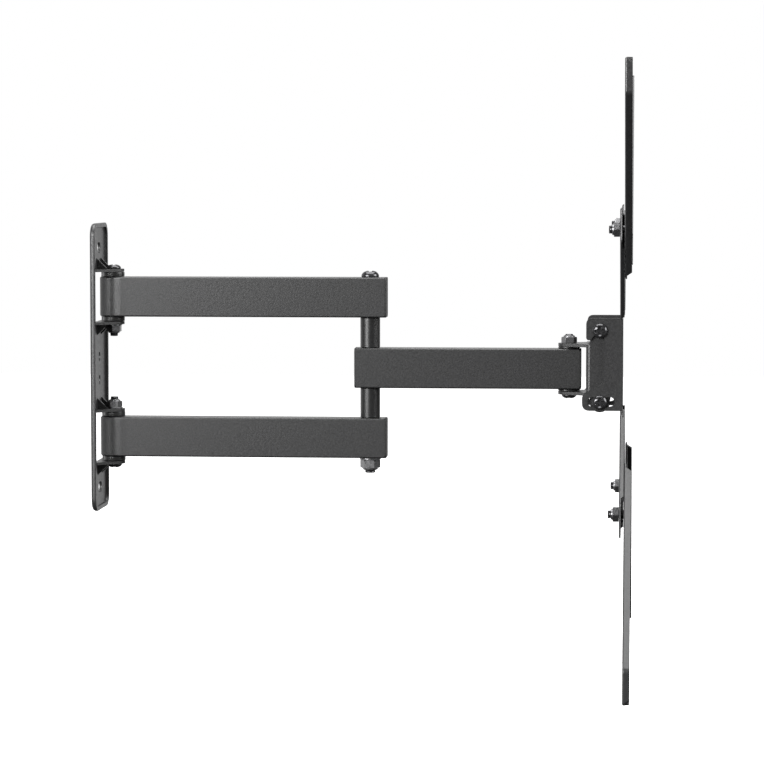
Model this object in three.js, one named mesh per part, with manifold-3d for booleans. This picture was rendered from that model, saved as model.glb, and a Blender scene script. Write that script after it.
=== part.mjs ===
// Full motion wall mount for a television: a stamped wall plate, two rear arms and a
// front arm of rectangular tube, a swivelling head and a tilting plate with four
// diagonal extension arms. Millimetres. X runs from the wall to the television, Y
// sideways and Z up; the origin is the middle of the wall plate's back face.
import * as THREE from "three";
import { mergeVertices } from "three/addons/utils/BufferGeometryUtils.js";
import Module from "manifold-3d";

const wasm = await Module();
wasm.setup();

// Fits
const seatGap = 0.3; // between pieces that rest on each other
const holeGap = 0.3; // round a shank in its hole
const clampGap = 0.05; // between pieces that a nut clamps together
const cutPast = 1; // how far a cut runs past the face it opens
const sheet = 2.0; // wall plate, its ears and the tilt ears

// Wall plate
const plateWidth = 57.8;
const plateHeight = 212.5;
const plateCorner = 9.75;
const rimDepth = 3.9;
const rimWidth = 3.2;
const rimRound = 2.34; // round between the rim and the back face
const windowWidth = 42;
const earReach = 20.9;
const earRootWidth = 40;
const gussetLeg = 8;
const gussetSpacing = 17;
const lagSlot = { width: 13, height: 7.8 };
const lagHeights = [88, -90];
const smallHoleHeights = [7.1, -10.1];
const smallHoleRadius = 3.6;

// Arms
const wallPivotX = 13.1;
const rearReach = 190.83; // wall pivot to elbow
const frontReach = 146.47; // elbow to head pivot
const tubeWidth = 18;
const tubeHeight = 29.38;
const tubeWall = 2;
const rearArmHeight = 51.84; // middle of a rear arm above and below the front arm
const noseBehindPivot = 10.4;
const noseLength = 17.5;
const rearPastElbow = 12.3;
const frontBehindElbow = 11.1;
const frontPastHead = 8.8;
const plugCap = 1.2;
const plugWall = 1.5;

// Pivots
const m6 = { radius: 3, headRadius: 5.4, headHeight: 3.1, nutFlats: 10, nutHeight: 5.6 };
const m8 = { radius: 4, headRadius: 6.6, headHeight: 4.8, nutFlats: 13, nutHeight: 7.6 };
const bushRadius = 8;
const wallBushThickness = 3.2;
const headBushThickness = 1.2;
const washerRadius = 6;
const elbowWasherRadius = 7.8;
const sleeveWall = 1.6;
const spacerRadius = 7.28;
const washerThickness = 1;
const elbowWasherThickness = 1.5;
const threadPastNut = 2.4;

// Swivelling head
const headSheet = 2.3;
const headWebSetback = 12.8; // head pivot to the back of the web
const headEarRootWidth = 34;
const flangeSheet = 2;
const flangeLobe = 7.3;
const tiltAxis = { x: 22.9, z: 29.2 }; // from the head pivot
const tiltLockDrop = 52; // tilt screw down to the lock screw
const headBendRadius = 3;

// Tilting plate
const tiltEarHalf = 28.4; // middle plane to the outer face of a tilt ear
const plateBackX = 37.6; // head pivot to the back of the centre plate
const plateCentreZ = 3.8;
const plateSheet = 1.5;
const centreFlange = 3.1;
const armBackGap = 0.3;
const extensionFlange = 5;
const armHalfWidth = 17;
const centreTip = 115.4; // reach of the centre plate, sideways and up
const extensionTip = 216;
const boltReach = 100; // inner television hole pattern
const outerHoleReach = 200; // outer television hole pattern
const extensionStart = 77;
const flangeLip = 3.3; // bare web at an extension arm's inner end
const tipLip = 1.2; // and at its tip
const tipSlope = 0.53; // how fast the flanges run out at its tip
const centreFlangeStop = 5.6; // bare web before a centre arm's slanted tip
const outerSlotLength = 14;
const earAboveTilt = 9; // tilt screw to the top of its ear
const earBelowLock = 6.1; // lock screw to the foot of the ear
const earBack = 10; // tilt screw to the back edge of the hook
const footBack = 12.9; // and to the back edge of the foot
const hookDrop = 6.9; // tilt screw to the lip of the hook
const throatHeight = 18.8; // lock screw to the end of the hook's throat
const tiltDegrees = { forward: 7, back: 5 };

const elbowX = wallPivotX + rearReach;
const headX = elbowX + frontReach;
const tiltX = headX + tiltAxis.x;
const lockZ = tiltAxis.z - tiltLockDrop;
const xAxis = new THREE.Vector3(1, 0, 0);
const yAxis = new THREE.Vector3(0, 1, 0);
const zAxis = new THREE.Vector3(0, 0, 1);

// ---- Solids ----

function solidOf(geometry) {
  const bare = geometry.clone();
  bare.deleteAttribute("normal");
  bare.deleteAttribute("uv");
  const merged = mergeVertices(bare, 1e-4);
  const vertProperties = merged.attributes.position.array;
  const triVerts = new Uint32Array(merged.index.array);
  return new wasm.Manifold(new wasm.Mesh({ numProp: 3, vertProperties, triVerts }));
}

function geometryOf(solid) {
  const mesh = solid.getMesh();
  const geometry = new THREE.BufferGeometry();
  geometry.setAttribute("position", new THREE.BufferAttribute(mesh.vertProperties, 3));
  geometry.setIndex(new THREE.BufferAttribute(mesh.triVerts, 1));
  return geometry;
}

function union(solids) {
  return solids.reduce((whole, next) => whole.add(next));
}

// A sheet cut to an outline. Facing x the outline is drawn in Y and Z, facing y in X
// and Z, facing z in X and Y; start is where the sheet begins along that axis.
function cutSheet(outline, thickness, facing, start, segments = 5) {
  const options = { depth: thickness, bevelEnabled: false, curveSegments: segments };
  const geometry = new THREE.ExtrudeGeometry(outline, options);
  const turn = new THREE.Matrix4();
  if (facing === "x") turn.makeBasis(yAxis, zAxis, xAxis).setPosition(start, 0, 0);
  if (facing === "y") {
    turn.makeBasis(xAxis, zAxis, yAxis.clone().negate()).setPosition(0, start + thickness, 0);
  }
  if (facing === "z") turn.setPosition(0, 0, start);
  return solidOf(geometry.applyMatrix4(turn));
}

function block(x0, x1, y0, y1, z0, z1) {
  const geometry = new THREE.BoxGeometry(x1 - x0, y1 - y0, z1 - z0);
  geometry.translate((x0 + x1) / 2, (y0 + y1) / 2, (z0 + z1) / 2);
  return solidOf(geometry);
}

// A round piece about the Z axis from a closed outline of [radius, height] points.
function turned(points, segments = 16) {
  const profile = points.map(([r, z]) => new THREE.Vector2(r, z));
  const geometry = new THREE.LatheGeometry(profile, segments);
  geometry.rotateX(Math.PI / 2);
  return solidOf(geometry);
}

// ---- Outlines ----

// A polygon whose corners are [a, b, radius]; a corner with a radius is rounded.
function roundedOutline(corners) {
  const outline = new THREE.Shape();
  corners.forEach(([a, b, radius = 0], i) => {
    const here = new THREE.Vector2(a, b);
    const [pa, pb] = corners[(i + corners.length - 1) % corners.length];
    const [na, nb] = corners[(i + 1) % corners.length];
    const inward = new THREE.Vector2(pa, pb).sub(here).normalize();
    const outward = new THREE.Vector2(na, nb).sub(here).normalize();
    const half = Math.acos(THREE.MathUtils.clamp(inward.dot(outward), -1, 1)) / 2;
    const cut = radius / Math.tan(half);
    const from = here.clone().addScaledVector(inward, cut);
    const to = here.clone().addScaledVector(outward, cut);
    if (i === 0) outline.moveTo(from.x, from.y);
    else outline.lineTo(from.x, from.y);
    if (radius > 0) outline.quadraticCurveTo(a, b, to.x, to.y);
  });
  outline.closePath();
  return outline;
}

function rectangle(width, height, radius = 0, a = 0, b = 0) {
  return roundedOutline([
    [a - width / 2, b - height / 2, radius],
    [a + width / 2, b - height / 2, radius],
    [a + width / 2, b + height / 2, radius],
    [a - width / 2, b + height / 2, radius],
  ]);
}

function circle(radius, a = 0, b = 0) {
  const outline = new THREE.Shape();
  outline.absarc(a, b, radius, 0, 2 * Math.PI, false);
  return outline;
}

// A lug: a round end about (a, b), with straight sides out to a root of a set width.
// dir is +1 where the root lies at higher a, and -1 where it lies at lower a.
function lug(a, b, radius, rootA, rootWidth, dir) {
  const outline = new THREE.Shape();
  const reach = Math.abs(rootA - a);
  const half = rootWidth / 2;
  const toCorner = Math.hypot(reach, half);
  const tangent = Math.atan2(half, reach) + Math.acos(radius / toCorner);
  const first = dir > 0 ? tangent : Math.PI + tangent;
  const last = first + 2 * (Math.PI - tangent);
  outline.moveTo(rootA, b + dir * half);
  outline.lineTo(a + radius * Math.cos(first), b + radius * Math.sin(first));
  outline.absarc(a, b, radius, first, last, false);
  outline.lineTo(rootA, b - dir * half);
  outline.closePath();
  return outline;
}

// ---- Fasteners, all about the Z axis ----

// A screw with a crossed pan head; the underside of the head is at z = 0.
function panScrew(size, length) {
  const r = size.radius;
  const crown = size.headHeight;
  const rim = size.headRadius;
  const pointChamfer = 0.6;
  const body = turned([
    [0, -length],
    [r - pointChamfer, -length],
    [r, -length + pointChamfer],
    [r, 0],
    [rim, 0],
    [rim, crown * 0.35],
    [rim * 0.86, crown * 0.75],
    [rim * 0.6, crown],
    [0, crown],
  ]);
  const slotLong = rim * 1.25;
  const slotWide = rim * 0.26;
  const depth = crown * 0.55;
  const slots = [
    [slotLong, slotWide],
    [slotWide, slotLong],
  ].map(([a, b]) => block(-a / 2, a / 2, -b / 2, b / 2, crown - depth, crown + cutPast));
  return body.subtract(union(slots));
}

// A lock nut standing on z = 0, with chamfered corners and a round collar on top.
function lockNut(size) {
  const corner = size.nutFlats / Math.sqrt(3);
  const flats = size.nutHeight * 0.76;
  const collar = corner * 0.78;
  const hexagon = new THREE.Shape();
  for (let i = 0; i < 6; i += 1) {
    const angle = (i * Math.PI) / 3;
    if (i === 0) hexagon.moveTo(corner, 0);
    else hexagon.lineTo(corner * Math.cos(angle), corner * Math.sin(angle));
  }
  hexagon.closePath();
  const chamfer = corner - size.nutFlats / 2;
  const envelope = turned([
    [0, 0],
    [corner - chamfer, 0],
    [corner, chamfer * 0.6],
    [corner, flats - chamfer * 0.6],
    [corner - chamfer, flats],
    [collar, size.nutHeight],
    [0, size.nutHeight],
  ]);
  const bore = turned(ringProfile(0, size.radius + holeGap, -cutPast, size.nutHeight + cutPast));
  return cutSheet(hexagon, size.nutHeight, "z", 0).intersect(envelope).subtract(bore);
}

function ringProfile(inner, outer, z0, z1) {
  const profile = [
    [inner, z0],
    [outer, z0],
    [outer, z1],
    [inner, z1],
  ];
  if (inner > 0) profile.push([inner, z0]);
  return profile;
}

function ring(inner, outer, z0, z1) {
  return turned(ringProfile(inner, outer, z0, z1));
}

function washer(size, outer, thickness) {
  return ring(size.radius + holeGap, outer, 0, thickness);
}

// A bush with its flange on z = 0 and its barrel going down into a tube wall.
function flangedBush(size, thickness) {
  const bore = size.radius + holeGap;
  const barrel = bore + sleeveWall;
  return turned([
    [bore, thickness],
    [bore, -tubeWall],
    [barrel, -tubeWall],
    [barrel, 0],
    [bushRadius, 0],
    [bushRadius, thickness],
    [bore, thickness],
  ]);
}

// ---- Materials and placing ----

function finish(colour, roughness, metalness) {
  return () => new THREE.MeshStandardMaterial({ color: colour, roughness, metalness });
}
const powderCoat = finish(0x3c3c3d, 0.55, 0.2);
const blackScrew = finish(0x161617, 0.25, 0.8);
const zincNut = finish(0x6a6a6c, 0.35, 0.9);
const blackPlastic = finish(0x1a1a1b, 0.5, 0.0);
const steelSleeve = finish(0x8a8a8c, 0.4, 0.9);

const mount = new THREE.Group();

function piece(name, solid, material, parent = mount) {
  const mesh = new THREE.Mesh(geometryOf(solid), material());
  mesh.name = name;
  parent.add(mesh);
  return mesh;
}

// ---- Wall plate ----

const rearTop = rearArmHeight + tubeHeight / 2; // outer face of a rear arm
const rearBottom = rearArmHeight - tubeHeight / 2; // inner face
const bushSpace = wallBushThickness + 2 * seatGap;
const outerEar = rearTop + bushSpace; // inner faces of the wall ears
const innerEar = rearBottom - bushSpace;

function wallEar(z) {
  const outline = lug(wallPivotX, 0, earReach - wallPivotX, sheet / 2, earRootWidth, -1);
  outline.holes.push(circle(m6.radius + holeGap, wallPivotX, 0));
  return cutSheet(outline, sheet, "z", z);
}

// A triangular stiffening rib in the corner between the plate and an ear.
function gusset(y, z, up) {
  const rib = new THREE.Shape();
  rib.moveTo(sheet / 2, z - up * (sheet / 2));
  rib.lineTo(sheet + gussetLeg, z - up * (sheet / 2));
  rib.lineTo(sheet + gussetLeg, z);
  rib.lineTo(sheet, z + up * gussetLeg);
  rib.lineTo(sheet / 2, z + up * gussetLeg);
  rib.closePath();
  return cutSheet(rib, sheet, "y", y - sheet / 2);
}

function wallPlate() {
  // The round behind the rim, in three steps of [inset, start]
  const steps = [
    [0, rimRound],
    [rimRound * 0.3, rimRound * 0.35],
    [rimRound, 0],
  ];
  const pan = union(
    steps.map(([inset, start]) => {
      const step = rectangle(plateWidth - 2 * inset, plateHeight - 2 * inset, plateCorner - inset);
      return cutSheet(step, rimDepth - start, "x", start);
    }),
  );
  const pocket = rectangle(plateWidth - 2 * rimWidth, plateHeight - 2 * rimWidth, plateCorner - rimWidth);
  const ears = [];
  for (const side of [1, -1]) {
    const outerZ = side > 0 ? outerEar : -outerEar - sheet;
    const innerZ = side > 0 ? innerEar - sheet : -innerEar;
    ears.push(wallEar(outerZ), wallEar(innerZ));
    for (const y of [gussetSpacing / 2, -gussetSpacing / 2]) {
      ears.push(gusset(y, side * (outerEar + sheet), side));
      ears.push(gusset(y, side * (innerEar - sheet), -side));
    }
  }
  const cuts = [];
  for (const side of [1, -1]) {
    const middle = (side * (outerEar + innerEar)) / 2;
    const opening = rectangle(windowWidth, outerEar - innerEar, 0, 0, middle);
    cuts.push(cutSheet(opening, sheet + 2 * cutPast, "x", -cutPast));
  }
  for (const z of lagHeights) {
    const slot = rectangle(lagSlot.width, lagSlot.height, lagSlot.height * 0.49, 0, z);
    cuts.push(cutSheet(slot, sheet + 2 * cutPast, "x", -cutPast));
  }
  for (const z of smallHoleHeights) {
    cuts.push(cutSheet(circle(smallHoleRadius, 0, z), sheet + 2 * cutPast, "x", -cutPast));
  }
  const panOnly = pan.subtract(cutSheet(pocket, rimDepth, "x", sheet)).subtract(union(cuts));
  return panOnly.add(union(ears));
}
piece("wall_plate", wallPlate(), powderCoat);

// ---- Rear arms ----

// Half-round nose at the wall, square at the elbow; inset shrinks it for the hollow.
function rearArmPlan(inset, endX) {
  const outline = new THREE.Shape();
  const half = tubeWidth / 2 - inset;
  const noseX = wallPivotX - noseBehindPivot + noseLength;
  outline.moveTo(endX, -half);
  outline.lineTo(endX, half);
  outline.lineTo(noseX, half);
  outline.absellipse(noseX, 0, noseLength - inset, half, Math.PI / 2, Math.PI * 1.5, false, 0);
  outline.closePath();
  return outline;
}

const rearEnd = elbowX + rearPastElbow - plugCap;
const bushBarrel = m6.radius + holeGap + sleeveWall;

function boreAt(x, radius, z0, z1) {
  return cutSheet(circle(radius, x, 0), z1 - z0, "z", z0);
}

function rearArm(middle) {
  const z0 = middle - tubeHeight / 2;
  const z1 = middle + tubeHeight / 2;
  const noseSegments = 8;
  const inside = rearArmPlan(tubeWall, rearEnd + cutPast);
  const insideHeight = tubeHeight - 2 * tubeWall;
  const shell = cutSheet(rearArmPlan(0, rearEnd), tubeHeight, "z", z0, noseSegments);
  const hollow = cutSheet(inside, insideHeight, "z", z0 + tubeWall, noseSegments);
  const wallBore = boreAt(wallPivotX, bushBarrel + holeGap, z0 - cutPast, z1 + cutPast);
  const elbowBore = boreAt(elbowX, m8.radius + holeGap, z0 - cutPast, z1 + cutPast);
  return shell.subtract(hollow).subtract(wallBore).subtract(elbowBore);
}

// An end plug: a cap over the tube's end and a hollow spigot inside it. dir is the way
// the cap looks; spigot is how far it reaches into the tube.
function endPlug(capStart, dir, middle, spigot) {
  const capCorner = 1.5;
  const spigotCorner = 1;
  const x0 = dir > 0 ? capStart : capStart - plugCap;
  const cap = cutSheet(rectangle(tubeWidth, tubeHeight, capCorner, 0, middle), plugCap, "x", x0);
  const innerWide = tubeWidth - 2 * tubeWall - 2 * holeGap;
  const innerHigh = tubeHeight - 2 * tubeWall - 2 * holeGap;
  const inner = rectangle(innerWide, innerHigh, spigotCorner, 0, middle);
  const core = rectangle(innerWide - 2 * plugWall, innerHigh - 2 * plugWall, spigotCorner, 0, middle);
  const root = plugCap / 2; // how far the spigot runs into the cap
  const bodyStart = dir > 0 ? capStart - spigot : capStart - root;
  const coreStart = dir > 0 ? capStart - spigot - cutPast : capStart;
  return cap
    .add(cutSheet(inner, spigot + root, "x", bodyStart))
    .subtract(cutSheet(core, spigot + cutPast, "x", coreStart));
}

// A plug stops short of the sleeve inside the tube.
function spigotLength(overhang, sleeveRadius) {
  return overhang - plugCap - sleeveRadius - seatGap;
}

const wallSleeveRadius = bushBarrel;
const elbowSleeveRadius = m8.radius + holeGap + sleeveWall;
const rearArms = [
  { name: "upper", side: 1 },
  { name: "lower", side: -1 },
];

// A steel sleeve inside a tube, so that a pivot's nut can't crush it.
function innerSleeve(size) {
  const bore = size.radius + holeGap;
  const reach = tubeHeight / 2 - tubeWall - seatGap;
  return ring(bore, bore + sleeveWall, -reach, reach);
}

for (const { name, side } of rearArms) {
  const middle = side * rearArmHeight;
  piece("rear_arm_" + name, rearArm(middle), powderCoat);
  const spigot = spigotLength(rearPastElbow, elbowSleeveRadius);
  piece("rear_arm_plug_" + name, endPlug(rearEnd + clampGap, 1, middle, spigot), blackPlastic);
  const wallSleeve = piece("wall_pivot_sleeve_" + name, innerSleeve(m6), steelSleeve);
  wallSleeve.position.set(wallPivotX, 0, middle);
  const elbowSleeve = piece("elbow_sleeve_" + name, innerSleeve(m8), steelSleeve);
  elbowSleeve.position.set(elbowX, 0, middle);

  // Bushes above and below the tube, their flanges filling the space to the ears
  const upperBush = piece("wall_bush_" + name + "_top", flangedBush(m6, wallBushThickness), blackPlastic);
  upperBush.position.set(wallPivotX, 0, middle + tubeHeight / 2 + seatGap);
  const lowerBush = piece("wall_bush_" + name + "_bottom", flangedBush(m6, wallBushThickness), blackPlastic);
  lowerBush.rotation.x = Math.PI;
  lowerBush.position.set(wallPivotX, 0, middle - tubeHeight / 2 - seatGap);

  // The screw goes in from the outer ear and its nut closes on the inner ear
  const pivot = new THREE.Group();
  pivot.position.x = wallPivotX;
  if (side < 0) pivot.rotation.x = Math.PI;
  mount.add(pivot);
  const headSeat = outerEar + sheet;
  const nutSeat = innerEar - sheet;
  const nutEnd = nutSeat - washerThickness - m6.nutHeight;
  const screwLength = headSeat - nutEnd + threadPastNut;
  const screw = piece("wall_pivot_screw_" + name, panScrew(m6, screwLength), blackScrew, pivot);
  screw.position.z = headSeat + clampGap;
  const ring6 = washer(m6, washerRadius, washerThickness - 2 * clampGap);
  const disc = piece("wall_pivot_washer_" + name, ring6, zincNut, pivot);
  disc.position.z = nutSeat - washerThickness + clampGap;
  const nut = piece("wall_pivot_nut_" + name, lockNut(m6), zincNut, pivot);
  nut.rotation.x = Math.PI;
  nut.position.z = nutSeat - washerThickness - clampGap;
}

// ---- Elbow ----

const elbowSeat = rearTop;
const elbowNutEnd = elbowSeat + elbowWasherThickness + m8.nutHeight;
const elbowBoltLength = elbowSeat + elbowNutEnd + threadPastNut;
const elbowBolt = piece("elbow_bolt", panScrew(m8, elbowBoltLength), blackScrew);
elbowBolt.position.set(elbowX, 0, elbowSeat + clampGap);
const ring8 = washer(m8, elbowWasherRadius, elbowWasherThickness - 2 * clampGap);
const elbowWasher = piece("elbow_washer", ring8, zincNut);
elbowWasher.position.set(elbowX, 0, -elbowSeat - elbowWasherThickness + clampGap);
const elbowNut = piece("elbow_nut", lockNut(m8), zincNut);
elbowNut.rotation.x = Math.PI;
elbowNut.position.set(elbowX, 0, -elbowSeat - elbowWasherThickness - clampGap);

const spacerLength = rearBottom - tubeHeight / 2 - 2 * seatGap;
for (const { name, side } of rearArms) {
  const spacer = piece(
    "elbow_spacer_" + name,
    ring(m8.radius + holeGap, spacerRadius, -spacerLength / 2, spacerLength / 2),
    powderCoat,
  );
  spacer.position.set(elbowX, 0, (side * (rearBottom + tubeHeight / 2)) / 2);
}

// ---- Front arm ----

const frontStart = elbowX - frontBehindElbow + plugCap;
const frontEnd = headX + frontPastHead - plugCap;

function frontArm() {
  const z0 = -tubeHeight / 2;
  const length = frontEnd - frontStart;
  const section = rectangle(tubeWidth, tubeHeight, 0);
  const inside = rectangle(tubeWidth - 2 * tubeWall, tubeHeight - 2 * tubeWall, 0);
  const shell = cutSheet(section, length, "x", frontStart);
  const hollow = cutSheet(inside, length + 2 * cutPast, "x", frontStart - cutPast);
  const elbowBore = boreAt(elbowX, m8.radius + holeGap, z0 - cutPast, -z0 + cutPast);
  const headBore = boreAt(headX, bushBarrel + holeGap, z0 - cutPast, -z0 + cutPast);
  return shell.subtract(hollow).subtract(elbowBore).subtract(headBore);
}
piece("front_arm", frontArm(), powderCoat);
const elbowSpigot = spigotLength(frontBehindElbow, elbowSleeveRadius);
piece("front_arm_plug_elbow", endPlug(frontStart - clampGap, -1, 0, elbowSpigot), blackPlastic);
const headSpigot = spigotLength(frontPastHead, wallSleeveRadius);
piece("front_arm_plug_head", endPlug(frontEnd + clampGap, 1, 0, headSpigot), blackPlastic);
const frontElbowSleeve = piece("front_elbow_sleeve", innerSleeve(m8), steelSleeve);
frontElbowSleeve.position.set(elbowX, 0, 0);
const headSleeve = piece("head_pivot_sleeve", innerSleeve(m6), steelSleeve);
headSleeve.position.set(headX, 0, 0);
const topHeadBush = piece("head_bush_top", flangedBush(m6, headBushThickness), blackPlastic);
topHeadBush.position.set(headX, 0, tubeHeight / 2 + seatGap);
const bottomHeadBush = piece("head_bush_bottom", flangedBush(m6, headBushThickness), blackPlastic);
bottomHeadBush.rotation.x = Math.PI;
bottomHeadBush.position.set(headX, 0, -tubeHeight / 2 - seatGap);

// ---- Swivelling head ----

const headEar = tubeHeight / 2 + headBushThickness + 2 * seatGap; // inner face of a head ear
const headTop = headEar + headSheet;
const webX = headX + headWebSetback;
const flangeOuter = tiltEarHalf - sheet - seatGap;

// The web with its two side flanges, seen from above.
function headSection() {
  const far = tiltX + flangeLobe;
  return roundedOutline([
    [webX, -flangeOuter, headBendRadius],
    [far, -flangeOuter, 0],
    [far, -flangeOuter + flangeSheet, 0],
    [webX + headSheet, -flangeOuter + flangeSheet, headBendRadius - flangeSheet],
    [webX + headSheet, flangeOuter - flangeSheet, headBendRadius - flangeSheet],
    [far, flangeOuter - flangeSheet, 0],
    [far, flangeOuter, 0],
    [webX, flangeOuter, headBendRadius],
  ]);
}

// A side flange: a strip with round ends about the tilt screw and the lock screw.
function headFlange(y) {
  const outline = new THREE.Shape();
  outline.absarc(tiltX, tiltAxis.z, flangeLobe, 0, Math.PI, false);
  outline.absarc(tiltX, lockZ, flangeLobe, Math.PI, 2 * Math.PI, false);
  outline.closePath();
  for (const z of [tiltAxis.z, lockZ]) outline.holes.push(circle(m6.radius + holeGap, tiltX, z));
  return cutSheet(outline, flangeSheet, "y", y);
}

function headBracket() {
  const ears = [headEar, -headTop].map((z) => {
    const outline = lug(headX, 0, bushRadius, webX + headSheet / 4, headEarRootWidth, 1);
    outline.holes.push(circle(m6.radius + holeGap, headX, 0));
    return cutSheet(outline, headSheet, "z", z);
  });
  const section = cutSheet(headSection(), 2 * headTop, "z", -headTop);
  const lockHole = [-1, 1].map((s) => {
    const hole = circle(m6.radius + holeGap, tiltX, lockZ);
    const start = s * (flangeOuter - flangeSheet / 2) - flangeSheet;
    return cutSheet(hole, 2 * flangeSheet, "y", start);
  });
  const flanges = [headFlange(-flangeOuter), headFlange(flangeOuter - flangeSheet)];
  return union([section, ...ears, ...flanges]).subtract(union(lockHole));
}
piece("head_bracket", headBracket(), powderCoat);

const headPivot = new THREE.Group();
headPivot.position.x = headX;
mount.add(headPivot);
const headScrewLength = 2 * headTop + m6.nutHeight + threadPastNut / 2;
const headScrew = piece("head_pivot_screw", panScrew(m6, headScrewLength), blackScrew, headPivot);
headScrew.rotation.x = Math.PI;
headScrew.position.z = -headTop - clampGap;
const headNut = piece("head_pivot_nut", lockNut(m6), zincNut, headPivot);
headNut.position.z = headTop + clampGap;

// Tilt screws and lock screws, from outside each tilt ear to a nut inside the flange
const tiltNutSeat = flangeOuter - flangeSheet;
const tiltScrewLength = tiltEarHalf - tiltNutSeat + m6.nutHeight + threadPastNut / 2;
for (const [hand, side] of [["near", -1], ["far", 1]]) {
  for (const [use, z] of [["tilt", tiltAxis.z], ["lock", lockZ]]) {
    const place = new THREE.Group();
    place.position.set(tiltX, 0, z);
    place.rotation.x = (side * -Math.PI) / 2;
    mount.add(place);
    const screw = piece(use + "_screw_" + hand, panScrew(m6, tiltScrewLength), blackScrew, place);
    screw.position.z = tiltEarHalf + seatGap;
    const nut = piece(use + "_nut_" + hand, lockNut(m6), zincNut, place);
    nut.rotation.x = Math.PI;
    nut.position.z = tiltNutSeat - 2 * clampGap;
  }
}

// ---- Tilting centre plate ----

const backX = headX + plateBackX;
const centreFrontX = backX + centreFlange;
const extensionBackX = centreFrontX + armBackGap;
const extensionWebX = extensionBackX + plateSheet;
const extensionFrontX = extensionBackX + extensionFlange;
const earTop = tiltAxis.z + earAboveTilt;
const earBottom = lockZ - earBelowLock;
const rootGap = 0.5; // between an ear's ends and the arms' roots

const armShoulder = 5; // corner radii of an arm's pointed end
const armPoint = 1.5;

// A diagonal arm lying along Y, with a square corner for a tip, as an outline in Y and Z.
function armOutline(start, tip, half) {
  return roundedOutline([
    [start, -half],
    [tip - half, -half, armShoulder],
    [tip, 0, armPoint],
    [tip - half, half, armShoulder],
    [start, half],
  ]);
}

const diagonals = [45, 135, 225, 315];

function turnedTo(solid, degrees) {
  return solid.rotate([degrees, 0, 0]).translate([0, 0, plateCentreZ]);
}

// A wedge that takes the flanges off an arm's tip, leaving the web as a lip.
function flangeCut(along, dir, webFront, slope, width) {
  const rise = 2 * extensionFlange;
  const beyond = along + dir * (armHalfWidth + extensionStart);
  const profile = new THREE.Shape();
  profile.moveTo(webFront, along);
  profile.lineTo(webFront + rise, along - dir * slope * rise);
  profile.lineTo(webFront + rise, beyond);
  profile.lineTo(webFront, beyond);
  profile.closePath();
  return cutSheet(profile, width * 2, "z", -width);
}

// The hooked ear: it drops over the tilt screw and swings on it, with the lock screw
// in a curved slot.
function tiltEar(y) {
  const slotRadius = m6.radius + holeGap;
  const hookX = tiltX - slotRadius;
  const slotX = tiltX + slotRadius;
  const left = tiltX - earBack;
  const foot = tiltX - footBack;
  const lip = tiltAxis.z - hookDrop;
  const throat = lockZ + throatHeight;
  const topCorner = 4.5;
  const footCorner = 5.5;
  const lipCorner = 2.2;
  const throatCorner = 5;
  const throatSlope = 4; // drop of the edge from the throat's end to the ear's back
  const outline = new THREE.Shape();
  outline.moveTo(backX + plateSheet, earBottom);
  outline.lineTo(backX + plateSheet, earTop);
  outline.lineTo(left + topCorner, earTop);
  outline.quadraticCurveTo(left, earTop, left, earTop - topCorner);
  outline.lineTo(left, lip + lipCorner);
  outline.quadraticCurveTo(left, lip, left + lipCorner, lip);
  outline.quadraticCurveTo(left + 1.6 * lipCorner, lip, left + 2 * lipCorner, lip + lipCorner * 0.8);
  outline.quadraticCurveTo(hookX, lip + 2 * lipCorner, hookX, tiltAxis.z);
  outline.absarc(tiltX, tiltAxis.z, slotRadius, Math.PI, 0, true);
  outline.lineTo(slotX, throat);
  outline.quadraticCurveTo(slotX, throat - throatCorner, slotX - throatCorner, throat - 1.4 * throatCorner);
  const backEdge = throat - 1.4 * throatCorner - throatSlope;
  outline.lineTo(left + 1, backEdge);
  outline.quadraticCurveTo(foot, backEdge - 2, foot, backEdge - throatCorner);
  outline.lineTo(foot, earBottom + footCorner);
  outline.quadraticCurveTo(foot, earBottom, foot + footCorner, earBottom);
  outline.closePath();
  const solid = cutSheet(outline, sheet, "y", y);
  return solid.subtract(lockSlot(y));
}

const slotGap = 0.5; // each side of the lock screw in its slot

// The curved slot for the lock screw, centred on the tilt screw.
function lockSlot(y) {
  const half = m6.radius + slotGap;
  const swing = THREE.MathUtils.degToRad(1);
  const first = THREE.MathUtils.degToRad(270 - tiltDegrees.back) - swing;
  const last = THREE.MathUtils.degToRad(270 + tiltDegrees.forward) + swing;
  const slot = new THREE.Shape();
  slot.absarc(tiltX, tiltAxis.z, tiltLockDrop + half, first, last, false);
  const end = new THREE.Vector2(Math.cos(last), Math.sin(last)).multiplyScalar(tiltLockDrop);
  slot.absarc(tiltX + end.x, tiltAxis.z + end.y, half, last, last + Math.PI, false);
  slot.absarc(tiltX, tiltAxis.z, tiltLockDrop - half, last, first, true);
  const start = new THREE.Vector2(Math.cos(first), Math.sin(first)).multiplyScalar(tiltLockDrop);
  const turn = first + Math.PI;
  slot.absarc(tiltX + start.x, tiltAxis.z + start.y, half, turn, turn + Math.PI, false);
  slot.closePath();
  return cutSheet(slot, sheet + 2 * cutPast, "y", y - cutPast);
}

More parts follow.
